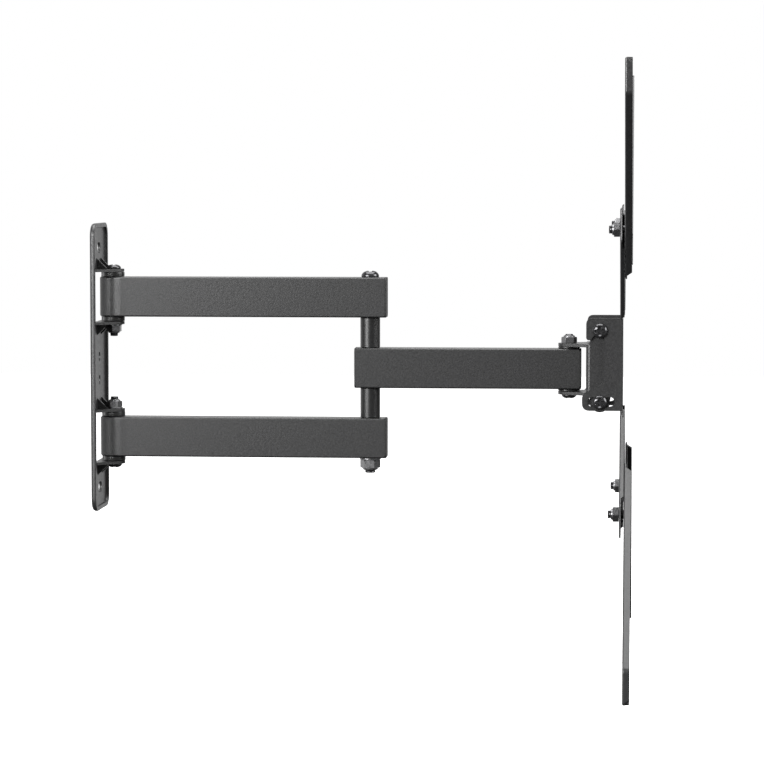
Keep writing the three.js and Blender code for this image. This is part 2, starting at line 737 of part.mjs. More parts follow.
function centrePlate() {
  const reach = centreTip * Math.SQRT2;
  const web = armOutline(0, reach, armHalfWidth);
  const hollow = armOutline(-cutPast, reach + 2 * armHalfWidth, armHalfWidth - plateSheet);
  const bolt = circle(m6.radius + holeGap, boltReach * Math.SQRT2, 0);
  const arms = [];
  const hollows = [];
  const bolts = [];
  const tips = [];
  const flangeEnd = reach - armHalfWidth - centreFlangeStop;
  for (const degrees of diagonals) {
    arms.push(turnedTo(cutSheet(web, centreFlange, "x", backX), degrees));
    hollows.push(turnedTo(cutSheet(hollow, centreFlange, "x", backX + plateSheet), degrees));
    bolts.push(turnedTo(cutSheet(bolt, plateSheet + 2 * cutPast, "x", backX - cutPast), degrees));
    const cut = flangeCut(flangeEnd, 1, backX + plateSheet, 1, armHalfWidth + cutPast);
    tips.push(turnedTo(cut, degrees));
  }
  const bodyHigh = earTop - earBottom + 2 * centreFlange;
  const bodyMiddle = (earTop + earBottom) / 2;
  const body = rectangle(2 * tiltEarHalf, bodyHigh, 0, 0, bodyMiddle);
  const bodyHollow = rectangle(2 * tiltEarHalf + 2 * holeGap, bodyHigh, 0, 0, bodyMiddle);

  // The ears' blanks leave notches in the arms' roots, out to where the arms part
  const notchTop = earTop + rootGap;
  const notchBottom = earBottom - rootGap;
  const tallest = Math.max(notchTop - plateCentreZ, plateCentreZ - notchBottom);
  const notchEnd = tallest + armHalfWidth * Math.SQRT2 + rootGap;
  const notchWide = notchEnd - tiltEarHalf;
  const notches = [1, -1].map((side) => {
    const middleY = side * (tiltEarHalf + notchWide / 2);
    const notch = rectangle(notchWide, notchTop - notchBottom, 0, middleY, bodyMiddle);
    return cutSheet(notch, centreFlange + 2 * cutPast, "x", backX - cutPast);
  });
  const ears = [-tiltEarHalf, tiltEarHalf - sheet].map(tiltEar);
  const whole = union([...arms, cutSheet(body, centreFlange, "x", backX)]);
  const opened = whole
    .subtract(union([...hollows, cutSheet(bodyHollow, centreFlange, "x", backX + plateSheet)]))
    .subtract(union([...notches, ...bolts, ...tips]));
  return opened.add(union(ears));
}

piece("centre_plate", centrePlate(), powderCoat);

// ---- Extension arms and their bolts ----

function extensionArm() {
  const start = extensionStart * Math.SQRT2;
  const tip = extensionTip * Math.SQRT2;
  const shell = cutSheet(armOutline(start, tip, armHalfWidth), extensionFlange, "x", extensionBackX);
  const insideTip = tip - plateSheet * Math.SQRT2;
  const inside = armOutline(start - cutPast, insideTip, armHalfWidth - plateSheet);
  const hollow = cutSheet(inside, extensionFlange, "x", extensionWebX);
  const bolt = circle(m6.radius + holeGap, boltReach * Math.SQRT2, 0);
  const slotHigh = 2 * (m6.radius + slotGap);
  const outer = rectangle(outerSlotLength, slotHigh, slotHigh * 0.49, outerHoleReach * Math.SQRT2, 0);
  const holes = [bolt, outer].map((hole) => {
    return cutSheet(hole, plateSheet + 2 * cutPast, "x", extensionBackX - cutPast);
  });
  const innerCut = flangeCut(start + flangeLip, -1, extensionWebX, 1, armHalfWidth + cutPast);
  const outerCut = flangeCut(tip - tipLip, 1, extensionWebX, tipSlope, armHalfWidth + cutPast);
  return shell.subtract(hollow).subtract(union([...holes, innerCut, outerCut]));
}

const arm = extensionArm();
const corners = [
  { name: "upper_far", degrees: 45 },
  { name: "upper_near", degrees: 135 },
  { name: "lower_near", degrees: 225 },
  { name: "lower_far", degrees: 315 },
];

// The bolt heads stay behind the flanges that the television rests on
const lowHead = { ...m6, headHeight: extensionFlange - plateSheet - 2 * seatGap };
const extensionBoltLength = extensionWebX - backX + m6.nutHeight + threadPastNut;
for (const { name, degrees } of corners) {
  const diagonal = new THREE.Group();
  diagonal.position.z = plateCentreZ;
  diagonal.rotation.x = THREE.MathUtils.degToRad(degrees);
  mount.add(diagonal);
  piece("extension_arm_" + name, arm, powderCoat, diagonal);
  const fixing = new THREE.Group();
  fixing.position.y = boltReach * Math.SQRT2;
  fixing.rotation.y = Math.PI / 2;
  diagonal.add(fixing);
  const shank = panScrew(lowHead, extensionBoltLength);
  const bolt = piece("extension_bolt_" + name, shank, blackScrew, fixing);
  bolt.position.z = extensionWebX + clampGap;
  const nut = piece("extension_nut_" + name, lockNut(m6), zincNut, fixing);
  nut.rotation.x = Math.PI;
  nut.position.z = backX - 2 * clampGap;
}

export default mount;
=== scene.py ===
# A full motion television wall mount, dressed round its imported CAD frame, in metres.
# X runs from the wall to the television, Y sideways and Z up.
import math

import bpy
from mathutils import Matrix, Vector


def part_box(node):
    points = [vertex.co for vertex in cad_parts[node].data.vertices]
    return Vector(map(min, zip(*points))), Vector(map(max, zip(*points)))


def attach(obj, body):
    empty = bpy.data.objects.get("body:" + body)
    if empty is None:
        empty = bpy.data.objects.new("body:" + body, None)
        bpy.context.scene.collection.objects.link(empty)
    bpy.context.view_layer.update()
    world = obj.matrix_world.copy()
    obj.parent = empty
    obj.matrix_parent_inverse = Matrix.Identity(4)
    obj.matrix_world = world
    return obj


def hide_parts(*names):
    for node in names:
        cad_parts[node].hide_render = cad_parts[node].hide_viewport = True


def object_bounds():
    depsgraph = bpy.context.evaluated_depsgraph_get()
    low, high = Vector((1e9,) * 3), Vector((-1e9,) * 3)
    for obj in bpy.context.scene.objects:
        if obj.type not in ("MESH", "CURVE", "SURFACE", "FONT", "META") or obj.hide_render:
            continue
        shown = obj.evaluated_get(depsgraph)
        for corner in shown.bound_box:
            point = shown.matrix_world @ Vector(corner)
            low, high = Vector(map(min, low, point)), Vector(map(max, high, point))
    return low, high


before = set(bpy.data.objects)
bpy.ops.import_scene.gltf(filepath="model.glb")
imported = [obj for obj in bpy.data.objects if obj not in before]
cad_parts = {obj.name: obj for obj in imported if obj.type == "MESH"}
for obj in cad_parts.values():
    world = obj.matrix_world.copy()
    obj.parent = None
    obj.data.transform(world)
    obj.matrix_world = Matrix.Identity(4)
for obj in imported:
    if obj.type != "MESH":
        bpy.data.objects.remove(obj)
cad_low, cad_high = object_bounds()

# ---- Wall plate ----
# Stamped from 2 mm steel with a rolled rim, and powder coated black. Four ears for the
# rear arms are lanced out of its two windows and bent forward, with gussets in their
# corners. Lag screws through its slots hold it on the wall.

mm = 0.001
sheet = 2.0 * mm
least_round = 0.02 * mm


# Offsets a closed outline of (a, b, radius) corners inwards and rounds its corners, with
# the same number of points at any inset, so that two insets can be skinned together.
def outline(corners, inset=0.0, steps=4):
    count = len(corners)
    edges = []
    for i in range(count):
        a, b, _ = corners[i]
        next_a, next_b, _ = corners[(i + 1) % count]
        edges.append(Vector((next_a - a, next_b - b)).normalized())
    points = []
    for i, (a, b, radius) in enumerate(corners):
        here = edges[i]
        before = edges[i - 1]
        turn = before.cross(here)
        bisector = Vector((-(before.y + here.y), before.x + here.x)).normalized()
        half = math.acos(max(-1.0, min(1.0, before.dot(here)))) / 2
        middle = Vector((a, b)) + bisector * inset / math.cos(half)
        if radius <= 0:
            points.append(middle)
            continue
        kept = max(radius - inset, least_round) if turn > 0 else radius + inset
        side = 1 if turn > 0 else -1
        centre = middle + bisector * side * kept / math.cos(half)
        first = Vector((before.y, -before.x)) * side
        for step in range(steps + 1):
            angle = side * 2 * half * step / steps
            spoke = Vector((
                first.x * math.cos(angle) - first.y * math.sin(angle),
                first.x * math.sin(angle) + first.y * math.cos(angle),
            ))
            points.append(centre + spoke * kept)
    return points


def rectangle(width, height, radius, middle=(0.0, 0.0)):
    a, b = middle
    return [
        (a - width / 2, b - height / 2, radius),
        (a + width / 2, b - height / 2, radius),
        (a + width / 2, b + height / 2, radius),
        (a - width / 2, b + height / 2, radius),
    ]


def circle(radius, middle=(0.0, 0.0), sides=48):
    turns = [2 * math.pi * i / sides for i in range(sides)]
    return [Vector((middle[0] + radius * math.cos(t), middle[1] + radius * math.sin(t))) for t in turns]


# Puts an outline in space. Facing x it is drawn in Y and Z, facing y in X and Z, and
# facing z in X and Y; depth is its place along that axis.
def lay(points, facing, depth):
    if facing == "x":
        return [Vector((depth, p[0], p[1])) for p in points]
    if facing == "y":
        return [Vector((p[0], depth, p[1])) for p in points]
    return [Vector((p[0], p[1], depth)) for p in points]


# Presses a solid from a disc: the disc takes the first loop's outline, and its face is
# extruded from loop to loop.
def press(name, loops):
    bpy.ops.object.select_all(action="DESELECT")
    bpy.ops.mesh.primitive_circle_add(vertices=len(loops[0]), fill_type="NGON")
    blank = bpy.context.active_object
    blank.name = name
    for corner, place in zip(blank.data.vertices, loops[0]):
        corner.co = place
    for before, after in zip(loops, loops[1:]):
        bpy.ops.object.mode_set(mode="EDIT")
        bpy.ops.mesh.extrude_region()
        bpy.ops.object.mode_set(mode="OBJECT")
        for corner in blank.data.vertices:
            if corner.select:
                nearest = min(range(len(before)), key=lambda i: (before[i] - corner.co).length_squared)
                corner.co = after[nearest]
    bpy.ops.object.mode_set(mode="EDIT")
    bpy.ops.mesh.select_all(action="SELECT")
    bpy.ops.mesh.normals_make_consistent(inside=False)
    bpy.ops.object.mode_set(mode="OBJECT")
    return blank


def blank(name, points, facing, start, thickness):
    return press(name, [lay(points, facing, start), lay(points, facing, start + thickness)])


def pick(piece):
    bpy.ops.object.select_all(action="DESELECT")
    bpy.context.view_layer.objects.active = piece
    piece.select_set(True)


# Cuts tools out of a piece, or welds them on, and clears the tools away.
def shape(piece, tools, operation):
    for tool in tools:
        pick(piece)
        work = piece.modifiers.new("work", "BOOLEAN")
        work.operation = operation
        work.solver = "MANIFOLD"
        work.object = tool
        bpy.ops.object.modifier_apply(modifier=work.name)
        bpy.data.objects.remove(tool)
    return piece


weld_gap = 0.002 * mm
flat_angle = math.radians(0.5)
sharp_angle = math.radians(40)
smooth_angle = math.radians(42)


# Breaks the sharp edges, smooths the rounds and keeps the flats flat.
def soften(piece, width, segments=2):
    pick(piece)
    bpy.ops.object.mode_set(mode="EDIT")
    bpy.ops.mesh.select_all(action="SELECT")
    bpy.ops.mesh.remove_doubles(threshold=weld_gap)
    bpy.ops.mesh.dissolve_limited(angle_limit=flat_angle)
    bpy.ops.object.mode_set(mode="OBJECT")
    if width > 0:
        edge = piece.modifiers.new("edge", "BEVEL")
        edge.width = width
        edge.segments = segments
        edge.limit_method = "ANGLE"
        edge.angle_limit = sharp_angle
        edge.use_clamp_overlap = True
        edge.miter_outer = "MITER_ARC"
        bpy.ops.object.modifier_apply(modifier=edge.name)
    bpy.ops.object.shade_smooth_by_angle(angle=smooth_angle)
    flat = piece.modifiers.new("flat", "WEIGHTED_NORMAL")
    flat.keep_sharp = True
    flat.weight = 90
    bpy.ops.object.modifier_apply(modifier=flat.name)
    return piece


def hang(piece, name, body, material, node):
    piece.name = name
    piece.data.materials.clear()
    piece.data.materials.append(material)
    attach(piece, body)
    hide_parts(node)


def socket(material, label):
    return material.node_tree.nodes["Principled BSDF"].inputs[label]


def shade(tone, strength):
    return tuple(c * strength for c in tone) + (1.0,)


def grey(level):
    return (level, level, level, 1.0)


# Fades from the low colour to the high one as a texture's factor goes from start to end.
def mix_between(material, factor, low, high, start, end):
    ramp = material.node_tree.nodes.new("ShaderNodeValToRGB")
    ramp.color_ramp.elements[0].position = start
    ramp.color_ramp.elements[1].position = end
    ramp.color_ramp.elements[0].color = low
    ramp.color_ramp.elements[1].color = high
    material.node_tree.links.new(factor, ramp.inputs["Fac"])
    return ramp.outputs["Color"]


def noise(material, scale, detail, roughness=0.5):
    nodes, links = material.node_tree.nodes, material.node_tree.links
    where = nodes.get("where") or nodes.new("ShaderNodeTexCoord")
    where.name = "where"
    grain = nodes.new("ShaderNodeTexNoise")
    grain.inputs["Scale"].default_value = scale
    grain.inputs["Detail"].default_value = detail
    grain.inputs["Roughness"].default_value = roughness
    links.new(where.outputs["Object"], grain.inputs["Vector"])
    return grain.outputs["Fac"]


def bump(material, heights):
    nodes, links = material.node_tree.nodes, material.node_tree.links
    last = None
    for height, depth in heights:
        relief = nodes.new("ShaderNodeBump")
        relief.inputs["Distance"].default_value = depth
        relief.inputs["Strength"].default_value = 1.0
        links.new(height, relief.inputs["Height"])
        if last:
            links.new(last, relief.inputs["Normal"])
        last = relief.outputs["Normal"]
    links.new(last, socket(material, "Normal"))


peel_height = 0.06 * mm
speck_height = 0.012 * mm


# Baked powder: a fine orange peel, specks of coarser powder and a slight drift in tone.
def powder_coat(name, tone, roughness):
    material = bpy.data.materials.new(name)
    material.use_nodes = True
    links = material.node_tree.links
    grain = noise(material, scale=900.0, detail=3.0, roughness=0.6)
    tones = mix_between(material, grain, shade(tone, 0.75), shade(tone, 1.25), 0.35, 0.65)
    links.new(tones, socket(material, "Base Color"))
    peel = noise(material, scale=650.0, detail=2.0)
    sheen = mix_between(material, peel, grey(roughness - 0.06), grey(roughness + 0.06), 0.3, 0.7)
    links.new(sheen, socket(material, "Roughness"))
    specks = noise(material, scale=2600.0, detail=1.0)
    bump(material, [(peel, peel_height), (specks, speck_height)])
    return material


coat = powder_coat("powder_coat_black", tone=(0.02, 0.02, 0.0204), roughness=0.38)

low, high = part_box("wall_plate")
plate_width = high.y - low.y
plate_height = high.z - low.z
plate_corner = 9.75 * mm
rim_depth = 3.9 * mm
rim_width = 3.2 * mm
rim_round = 2.34 * mm
lip_round = 0.5 * mm
lip_lean = 0.1 * mm
lip_fall = 0.3 * mm
plate_edge = 0.3 * mm
rim_root = [(0.0, 0.9 * mm), (0.3 * mm, 0.25 * mm), (1.1 * mm, 0.0)]


def plate_loops():
    corners = rectangle(plate_width, plate_height, plate_corner)
    profile = []
    for step in range(6):
        turn = math.pi / 2 * step / 5
        profile.append((rim_round * (1 - math.sin(turn)), rim_round * (1 - math.cos(turn))))
    for step in range(4):
        turn = math.pi / 2 * step / 3
        profile.append((lip_round * (1 - math.cos(turn)), rim_depth - lip_round * (1 - math.sin(turn))))
    profile += [
        (rim_width - lip_round, rim_depth),
        (rim_width - lip_lean, rim_depth - lip_fall),
    ]
    profile += [(rim_width + across, sheet + up) for across, up in rim_root]
    return [lay(outline(corners, inset, 8), "x", depth) for inset, depth in profile]


plate = press("wall_plate_pressing", plate_loops())

# The ears stand at the bushes' outer ends; each is a lug with a round end on its pivot
pivot_low, pivot_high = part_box("wall_pivot_screw_upper")
wall_pivot_x = (pivot_low.x + pivot_high.x) / 2
ear_round = high.x - wall_pivot_x
ear_root = 40.0 * mm
bush_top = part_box("wall_bush_upper_top")[1].z
bush_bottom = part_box("wall_bush_upper_bottom")[0].z
seat = 0.3 * mm
window_width = 42.0 * mm
outer_ear = bush_top + seat
inner_ear = bush_bottom - seat
screw_hole = 3.3 * mm
gusset_leg = 8.0 * mm
gusset_sink = 0.5 * mm
gusset_spacing = 17.0 * mm
lag_slot_width = 13.0 * mm
lag_slot_height = 7.8 * mm
lag_slot_round = 3.85 * mm
lag_slot_places = (88.0 * mm, -90.0 * mm)
small_hole = 3.6 * mm
small_hole_places = (7.1 * mm, -10.1 * mm)
punch_depth = 4.0 * mm
drill_reach = 0.1


def lug(pivot_x, radius, root_x, root_width, steps=20):
    reach = abs(root_x - pivot_x)
    side = 1 if root_x > pivot_x else -1
    corner = math.hypot(reach, root_width / 2)
    tangent = math.atan2(root_width / 2, reach) + math.acos(radius / corner)
    first = tangent if side > 0 else math.pi + tangent
    sweep = 2 * (math.pi - tangent)
    points = [Vector((root_x, side * root_width / 2))]
    for step in range(steps + 1):
        angle = first + sweep * step / steps
        points.append(Vector((pivot_x + radius * math.cos(angle), radius * math.sin(angle))))
    points.append(Vector((root_x, -side * root_width / 2)))
    return points


def gusset(y, z, up):
    foot = z - up * gusset_sink
    corners = [
        Vector((0.5 * sheet, foot)),
        Vector((sheet + gusset_leg, foot)),
        Vector((sheet + gusset_leg, z)),
        Vector((sheet, z + up * gusset_leg)),
        Vector((0.5 * sheet, z + up * gusset_leg)),
    ]
    return blank("gusset", corners, "y", y - sheet / 2, sheet)


# Punches and drills run well past both faces of what they cut.
def punch(name, points, back):
    return blank(name, points, "x", back - mm, punch_depth)


def drill(name, radius, place, facing):
    return blank(name, circle(radius, place, 32), facing, -drill_reach, 2 * drill_reach)


windows = []
ears = []
for side in (1, -1):
    middle = (0, side * (outer_ear + inner_ear) / 2)
    window = rectangle(window_width, outer_ear - inner_ear, 0, middle)
    windows.append(punch("window", outline(window), 0))
    outer = outer_ear if side > 0 else -outer_ear - sheet
    inner = inner_ear - sheet if side > 0 else -inner_ear
    for z in (outer, inner):
        ears.append(blank("ear", lug(wall_pivot_x, ear_round, 0.5 * sheet, ear_root), "z", z, sheet))
    for y in (-gusset_spacing / 2, gusset_spacing / 2):
        ears.append(gusset(y, side * (outer_ear + sheet), side))
        ears.append(gusset(y, side * (inner_ear - sheet), -side))
for z in lag_slot_places:
    lag_slot = rectangle(lag_slot_width, lag_slot_height, lag_slot_round, (0, z))
    windows.append(punch("lag_slot", outline(lag_slot, 0, 8), 0))
for z in small_hole_places:
    windows.append(punch("small_hole", circle(small_hole, (0, z), 32), 0))
pivot_bore = drill("bore", screw_hole, (wall_pivot_x, 0), "z")
shape(plate, windows, "DIFFERENCE")
shape(plate, ears, "UNION")
shape(plate, [pivot_bore], "DIFFERENCE")
soften(plate, plate_edge)
hang(plate, "wall_plate_pressing", "wall_side", coat, "wall_plate")

# ---- Rear arms ----
# Two lengths of 18 x 29.4 mm rectangular steel tube. The wall end is pressed to a rounded
# nose and the elbow end is cut square; both are drilled through for their pivots and
# powder coated black.

tube_wall = 2.0 * mm
tube_round = 1.2 * mm
tube_edge = 0.15 * mm
nose_length = 17.5 * mm
bush_bore = 5.2 * mm
elbow_bore = 4.3 * mm
elbow_low, elbow_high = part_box("elbow_bolt")
elbow_x = (elbow_low.x + elbow_high.x) / 2


# Loops up a solid whose two ends have rounded edges; plan gives its outline at an inset.
def rounded_loops(plan, facing, start, end, radius, steps=4):
    loops = []
    for step in range(steps + 1):
        turn = math.pi / 2 * step / steps
        inset = radius * (1 - math.sin(turn))
        loops.append(lay(plan(inset), facing, start + radius * (1 - math.cos(turn))))
    for step in range(steps + 1):
        turn = math.pi / 2 * step / steps
        inset = radius * (1 - math.cos(turn))
        loops.append(lay(plan(inset), facing, end - radius * (1 - math.sin(turn))))
    return loops


def nosed_plan(start_x, end_x, half_width, inset, steps=24):
    half = half_width - inset
    middle = start_x + nose_length
    points = [Vector((end_x, -half)), Vector((end_x, half))]
    for step in range(steps + 1):
        turn = math.pi / 2 + math.pi * step / steps
        nose = middle + (nose_length - inset) * math.cos(turn)
        points.append(Vector((nose, half * math.sin(turn))))
    return points


# Bores a tube from top to bottom.
def tube_bore(name, radius, x, low, high):
    return blank(name, circle(radius, (x, 0), 40), "z", low.z - mm, high.z - low.z + 2 * mm)


for level in ("upper", "lower"):
    low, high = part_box("rear_arm_" + level)
    half = (high.y - low.y) / 2
    tube = press(
        "rear_arm_tube",
        rounded_loops(lambda inset: nosed_plan(low.x, high.x, half, inset), "z", low.z, high.z, tube_round),
    )
    inside = nosed_plan(low.x, high.x + mm, half, tube_wall)
    hollow = blank("hollow", inside, "z", low.z + tube_wall, high.z - low.z - 2 * tube_wall)
    wall_bore = tube_bore("wall_bore", bush_bore, wall_pivot_x, low, high)
    end_bore = tube_bore("elbow_bore", elbow_bore, elbow_x, low, high)
    shape(tube, [hollow, wall_bore, end_bore], "DIFFERENCE")
    soften(tube, tube_edge)
    hang(tube, "rear_arm_tube_" + level, "rear_arms", coat, "rear_arm_" + level)

# ---- End plugs ----
# Moulded black plastic: a cap with rounded corners over the tube's end, and a hollow
# spigot that grips inside it.

plug_cap = 1.2 * mm
plug_wall = 1.5 * mm
plug_gap = 0.3 * mm
plug_corner = 1.0 * mm
cap_corner = 2.4 * mm
cap_round = 0.5 * mm


def moulded_plastic(name, tone, roughness):
    material = bpy.data.materials.new(name)
    material.use_nodes = True
    links = material.node_tree.links
    drift = noise(material, scale=60.0, detail=2.0)
    tones = mix_between(material, drift, shade(tone, 0.92), shade(tone, 1.08), 0.3, 0.7)
    links.new(tones, socket(material, "Base Color"))
    socket(material, "Roughness").default_value = roughness
    specks = noise(material, scale=2600.0, detail=2.0)
    bump(material, [(specks, speck_height)])
    return material


plug_plastic = moulded_plastic("plug_plastic", tone=(0.008, 0.008, 0.008), roughness=0.62)


def end_plug(node, way):
    low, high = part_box(node)
    middle = ((low.y + high.y) / 2, (low.z + high.z) / 2)
    width = high.y - low.y
    height = high.z - low.z
    grip_width = width - 2 * tube_wall - 2 * plug_gap
    grip_height = height - 2 * tube_wall - 2 * plug_gap
    core_width = grip_width - 2 * plug_wall
    core_height = grip_height - 2 * plug_wall
    core = outline(rectangle(core_width, core_height, plug_corner, middle))
    grip = outline(rectangle(grip_width, grip_height, plug_corner, middle))
    cap = rectangle(width, height, cap_corner, middle)
    tip = low.x if way > 0 else high.x
    face = high.x if way > 0 else low.x
    seat_x = face - way * plug_cap
    loops = [lay(core, "x", seat_x), lay(core, "x", tip), lay(grip, "x", tip), lay(grip, "x", seat_x)]
    loops.append(lay(outline(cap), "x", seat_x))
    for step in range(4):
        turn = math.pi / 2 * step / 3
        inset = cap_round * (1 - math.cos(turn))
        depth = cap_round * (1 - math.sin(turn))
        loops.append(lay(outline(cap, inset), "x", face - way * depth))
    return press(node + "_moulding", loops)


plugs = [
    ("rear_arm_plug_upper", 1, "rear_arms"),
    ("rear_arm_plug_lower", 1, "rear_arms"),
    ("front_arm_plug_elbow", -1, "front_arm"),
    ("front_arm_plug_head", 1, "front_arm"),
]
for node, way, body in plugs:
    plug = soften(end_plug(node, way), 0)
    hang(plug, node + "_moulding", body, plug_plastic, node)

# ---- Pivot bushes ----
# Turned black acetal, one above and one below each tube on the wall and head pivots. The
# flange keeps the tube off the ears and the barrel lines the tube's bore.

bush_plastic = moulded_plastic("bush_acetal", tone=(0.012, 0.012, 0.012), roughness=0.33)
bush_inside = 3.3 * mm
bush_barrel = 4.9 * mm
bush_edge = 0.45 * mm
seam_gap = 0.001 * mm


# Spins a closed outline of (radius, height) points into a ring about the Z axis.
def turn_ring(name, profile, steps=48):
    bpy.ops.object.select_all(action="DESELECT")
    bpy.ops.mesh.primitive_circle_add(vertices=len(profile))
    ring = bpy.context.active_object
    ring.name = name
    for corner, (radius, height) in zip(ring.data.vertices, profile):
        corner.co = (radius, 0, height)
    bpy.ops.object.mode_set(mode="EDIT")
    bpy.ops.mesh.select_all(action="SELECT")
    bpy.ops.mesh.spin(steps=steps, angle=2 * math.pi, center=(0, 0, 0), axis=(0, 0, 1))
    bpy.ops.mesh.select_all(action="SELECT")
    bpy.ops.mesh.remove_doubles(threshold=seam_gap)
    bpy.ops.mesh.normals_make_consistent(inside=False)
    bpy.ops.object.mode_set(mode="OBJECT")
    return ring


# Stands a piece made about the Z axis on its node's axis, its top at the node's end.
def stand(piece, node, direction, twist=0.0):
    low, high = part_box(node)
    up = Vector(direction)
    reach = abs((high - low).dot(up)) / 2
    top = max(corner.co.z for corner in piece.data.vertices)
    middle = (low + high) / 2 + up * (reach - top)
    lean = Vector((0, 0, 1)).rotation_difference(up).to_matrix().to_4x4()
    pick(piece)
    spin = Matrix.Rotation(math.radians(twist), 4, "Z")
    piece.matrix_world = Matrix.Translation(middle) @ lean @ spin
    bpy.ops.object.transform_apply(location=True, rotation=True, scale=True)
    return piece


def copy_of(piece):
    pick(piece)
    bpy.ops.object.duplicate(linked=False)
    return bpy.context.active_object


def bush(node):
    low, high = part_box(node)
    outer = (high.x - low.x) / 2
    flange = high.z - low.z - tube_wall
    profile = [
        (bush_inside, -tube_wall),
        (bush_barrel, -tube_wall),
        (bush_barrel, 0),
        (outer - bush_edge, 0),
        (outer - 0.3 * bush_edge, 0.3 * bush_edge),
        (outer, bush_edge),
        (outer, flange - bush_edge),
        (outer - 0.3 * bush_edge, flange - 0.3 * bush_edge),
        (outer - bush_edge, flange),
        (bush_inside, flange),
    ]
    return turn_ring(node + "_turning", profile)


bushes = [("wall_bush_upper", "rear_arms"), ("wall_bush_lower", "rear_arms"), ("head_bush", "front_arm")]
for stem, body in bushes:
    for end, up in (("top", 1), ("bottom", -1)):
        node = stem + "_" + end
        turning = soften(stand(bush(node), node, (0, 0, up)), 0)
        hang(turning, node + "_turning", body, bush_plastic, node)

# ---- Screws and bolts ----
# Cold-headed steel with a domed head and a wide crossed recess, plated glossy black. M6
# screws make the wall, head and tilt pivots, lock the tilt and hold the extension arms,
# and one long M8 bolt runs down the elbow.

head_m6 = {"radius": 3.0 * mm, "rim": 5.4 * mm, "pitch": 1.0 * mm}
head_m8 = {"radius": 4.0 * mm, "rim": 6.6 * mm, "pitch": 1.25 * mm}
thread_depth = 0.35 * mm
point_chamfer = 0.6 * mm
screw_edge = 0.12 * mm
recess_length = 1.55
recess_width = 0.46
recess_depth = 0.5
recess_corner = 0.18 * mm
recess_floor = (0.72, 0.62)
recess_mouth = (1.06, 1.1)
mouth_rise = 0.3 * mm
dome_start = 0.12
dome_swell = 0.8
dome_flat = 0.15
ripple_height = 0.002 * mm


def plated_steel(name, tone, roughness, metallic):
    material = bpy.data.materials.new(name)
    material.use_nodes = True
    links = material.node_tree.links
    streak = noise(material, scale=700.0, detail=3.0, roughness=0.6)
    tones = mix_between(material, streak, shade(tone, 0.8), shade(tone, 1.2), 0.3, 0.7)
    links.new(tones, socket(material, "Base Color"))
    sheen = mix_between(material, streak, grey(roughness - 0.03), grey(roughness + 0.04), 0.35, 0.65)
    links.new(sheen, socket(material, "Roughness"))
    socket(material, "Metallic").default_value = metallic
    ripple = noise(material, scale=1200.0, detail=2.0)
    bump(material, [(ripple, ripple_height)])
    return material


black_plate = plated_steel("black_plating", tone=(0.055, 0.055, 0.057), roughness=0.16, metallic=0.7)


def turned_loops(profile, sides=40):
    return [lay(circle(radius, (0, 0), sides), "z", height) for radius, height in profile]


# A screw about the Z axis, its shank below zero and its head above. The recess is sized
# by the head's rim and crown.
def crossed_screw(size, length, threaded, crown):
    radius = size["radius"]
    rim = size["rim"]
    pitch = size["pitch"]
    profile = [(radius - point_chamfer, -length), (radius, -length + point_chamfer)]
    height = -length + point_chamfer
    while height + pitch < -length + threaded:
        profile.append((radius - thread_depth, height + 0.5 * pitch))
        profile.append((radius, height + pitch))
        height += pitch
    profile += [(radius, 0), (rim - 0.2 * mm, 0), (rim, dome_start * crown)]
    for step in range(1, 9):
        turn = math.pi / 2 * step / 9
        height = crown * (dome_start + (1 - dome_start) * math.sin(turn))
        profile.append((rim * math.cos(turn) ** dome_swell, height))
    profile.append((rim * dome_flat, crown))
    screw = press("screw", turned_loops(profile))
    depth = recess_depth * crown
    long_side = rim * recess_length
    short_side = rim * recess_width
    arms = []
    for a, b in ((long_side, short_side), (short_side, long_side)):
        bottom = outline(rectangle(a * recess_floor[0], b * recess_floor[1], recess_corner), 0, 2)
        mouth = outline(rectangle(a * recess_mouth[0], b * recess_mouth[1], recess_corner), 0, 2)
        arms.append(press("arm", [lay(bottom, "z", crown - depth), lay(mouth, "z", crown + mouth_rise)]))
    shape(screw, arms, "DIFFERENCE")
    return soften(screw, screw_edge)


# Makes one screw as long as the first node and fits a copy in the place of each.
def fit_screws(size, crown, threaded, places):
    low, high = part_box(places[0][0])
    length = max(high - low) - crown
    master = crossed_screw(size, length, threaded, crown)
    for node, body, direction in places:
        screw = stand(copy_of(master), node, direction)
        hang(screw, node + "_forging", body, black_plate, node)
    bpy.data.objects.remove(master)


wall_screws = [
    ("wall_pivot_screw_upper", "wall_side", (0, 0, 1)),
    ("wall_pivot_screw_lower", "wall_side", (0, 0, -1)),
]
head_screws = [("head_pivot_screw", "swivel_head", (0, 0, -1))]
elbow_bolts = [("elbow_bolt", "rear_arms", (0, 0, 1))]
tilt_screws = [
    ("tilt_screw_near", "swivel_head", (0, -1, 0)),
    ("tilt_screw_far", "swivel_head", (0, 1, 0)),
    ("lock_screw_near", "swivel_head", (0, -1, 0)),
    ("lock_screw_far", "swivel_head", (0, 1, 0)),
]
corners = ("upper_far", "upper_near", "lower_near", "lower_far")
extension_bolts = [("extension_bolt_" + corner, "tv_plate", (1, 0, 0)) for corner in corners]
fit_screws(head_m6, crown=3.1 * mm, threaded=12 * mm, places=wall_screws)
fit_screws(head_m6, crown=3.1 * mm, threaded=12 * mm, places=head_screws)
fit_screws(head_m8, crown=4.8 * mm, threaded=16 * mm, places=elbow_bolts)
fit_screws(head_m6, crown=3.1 * mm, threaded=7 * mm, places=tilt_screws)
fit_screws(head_m6, crown=2.9 * mm, threaded=9 * mm, places=extension_bolts)

# ---- Lock nuts and washers ----
# Hexagon nuts with chamfered corners and a crimped collar for the locking ring, and plain
# flat washers, all in dark zinc plating. The washers go under the wall and elbow nuts.

